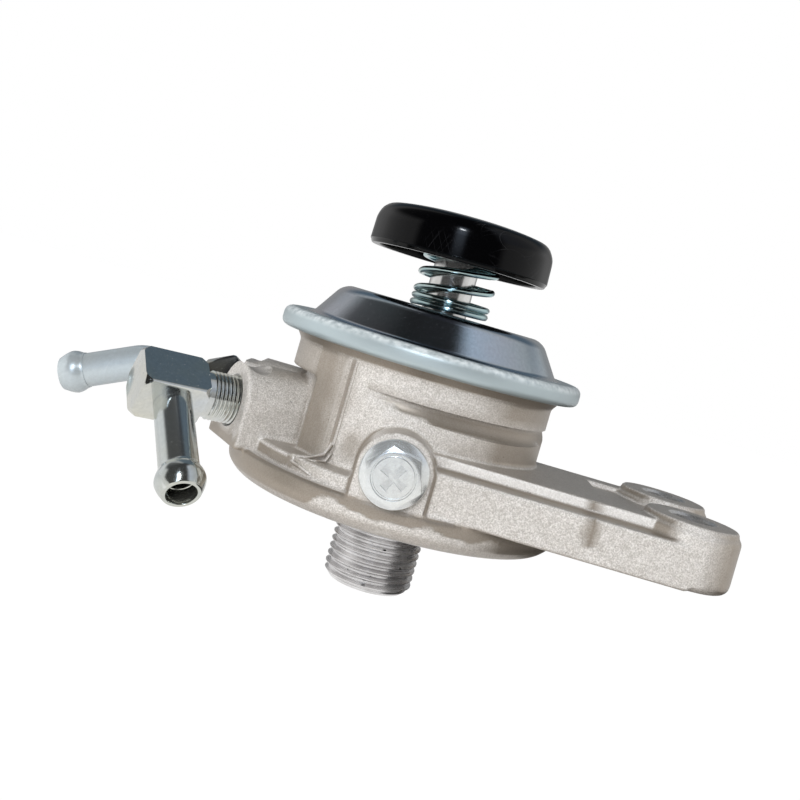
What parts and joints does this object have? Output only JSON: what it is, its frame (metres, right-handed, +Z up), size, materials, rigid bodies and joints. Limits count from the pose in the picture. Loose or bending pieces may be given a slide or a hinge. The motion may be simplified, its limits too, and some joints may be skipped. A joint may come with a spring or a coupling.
{
  "type": "diesel fuel filter head with hand priming pump",
  "caption": "Spin-on diesel fuel filter head: a cast arm bracket with a threaded spigot, hose fittings, a bleed screw and a sprung hand priming pump.",
  "frame": {"origin": "where the pump's axis meets the flat ring that the filter cartridge seals on", "axes": "+Z up the pump's axis from the spigot to the knob, +X along the two-bolt arm, -Y towards the bleed screw"},
  "size_m": [0.1433, 0.0768, 0.08],
  "materials": {
    "casting": "sand cast, blasted, slightly rough",
    "zinc_sheet": "bright zinc plate, satin, bluish",
    "spring_wire": "bright zinc plated wire",
    "zinc_fitting": "bright zinc plate, glossy",
    "zinc_tube": "satin zinc plate",
    "black_knob": "glossy black moulding",
    "rod_steel": "ground steel",
    "bleed_steel": "bright zinc plate, silvery",
    "washer_steel": "plain",
    "bush": "sintered bronze",
    "brass": "machined",
    "rubber": "matt"
  },
  "bodies": {
    "head": {"head_casting": "casting", "pump_cover": "zinc_sheet", "guide_bush": "bush", "rod_seal": "rubber", "pump_diaphragm": "rubber", "return_spring": "spring_wire", "front_elbow": "zinc_fitting", "front_hose_tube": "zinc_fitting", "rear_connector": "zinc_fitting", "rear_hose_tube": "zinc_tube", "inlet_valve_seat": "brass", "inlet_valve_spring": "spring_wire", "inlet_valve_cage": "brass", "outlet_valve_seat": "brass", "outlet_valve_spring": "spring_wire", "outlet_valve_cage": "brass"},
    "plunger": {"push_knob": "black_knob", "knob_insert": "brass", "spring_seat_washer": "zinc_sheet", "plunger_rod": "rod_steel", "upper_diaphragm_plate": "zinc_sheet", "lower_diaphragm_plate": "zinc_sheet", "diaphragm_nut": "rod_steel"},
    "bleed_ring": {"bleed_washer": "washer_steel"},
    "bleed_bolt": {"bleed_screw": "bleed_steel"},
    "inlet_disc": {"inlet_valve_disc": "rubber"},
    "outlet_disc": {"outlet_valve_disc": "rubber"}
  },
  "joints": [
    {"name": "plunger_slide", "type": "slide", "parent": "head", "child": "plunger", "axis": [0, 0, -1], "range_m": [0, 0.007], "stiffness_N_per_m": 900, "springref_m": -0.006, "deforming": ["return_spring", "pump_diaphragm"]},
    {"name": "bleed_slide", "type": "slide", "parent": "head", "child": "bleed_ring", "axis": [0, -1, 0], "range_m": [0, 0.0015]},
    {"name": "bleed_turn", "type": "hinge", "parent": "bleed_ring", "child": "bleed_bolt", "pos_m": [-0.001, -0.036, 0.0122], "axis": [0, -1, 0], "range_deg": [0, 540]},
    {"name": "inlet_disc_lift", "type": "slide", "parent": "head", "child": "inlet_disc", "axis": [0, 0, 1], "range_m": [0, 0.001], "stiffness_N_per_m": 20, "springref_m": -0.002, "deforming": ["inlet_valve_spring"]},
    {"name": "outlet_disc_lift", "type": "slide", "parent": "head", "child": "outlet_disc", "axis": [0, 0, -1], "range_m": [0, 0.001], "stiffness_N_per_m": 20, "springref_m": -0.002, "deforming": ["outlet_valve_spring"]}
  ],
  "couplings": [
    {"joint": "bleed_turn", "follows": "bleed_slide", "rad_per_m": 6283.2}
  ]
}
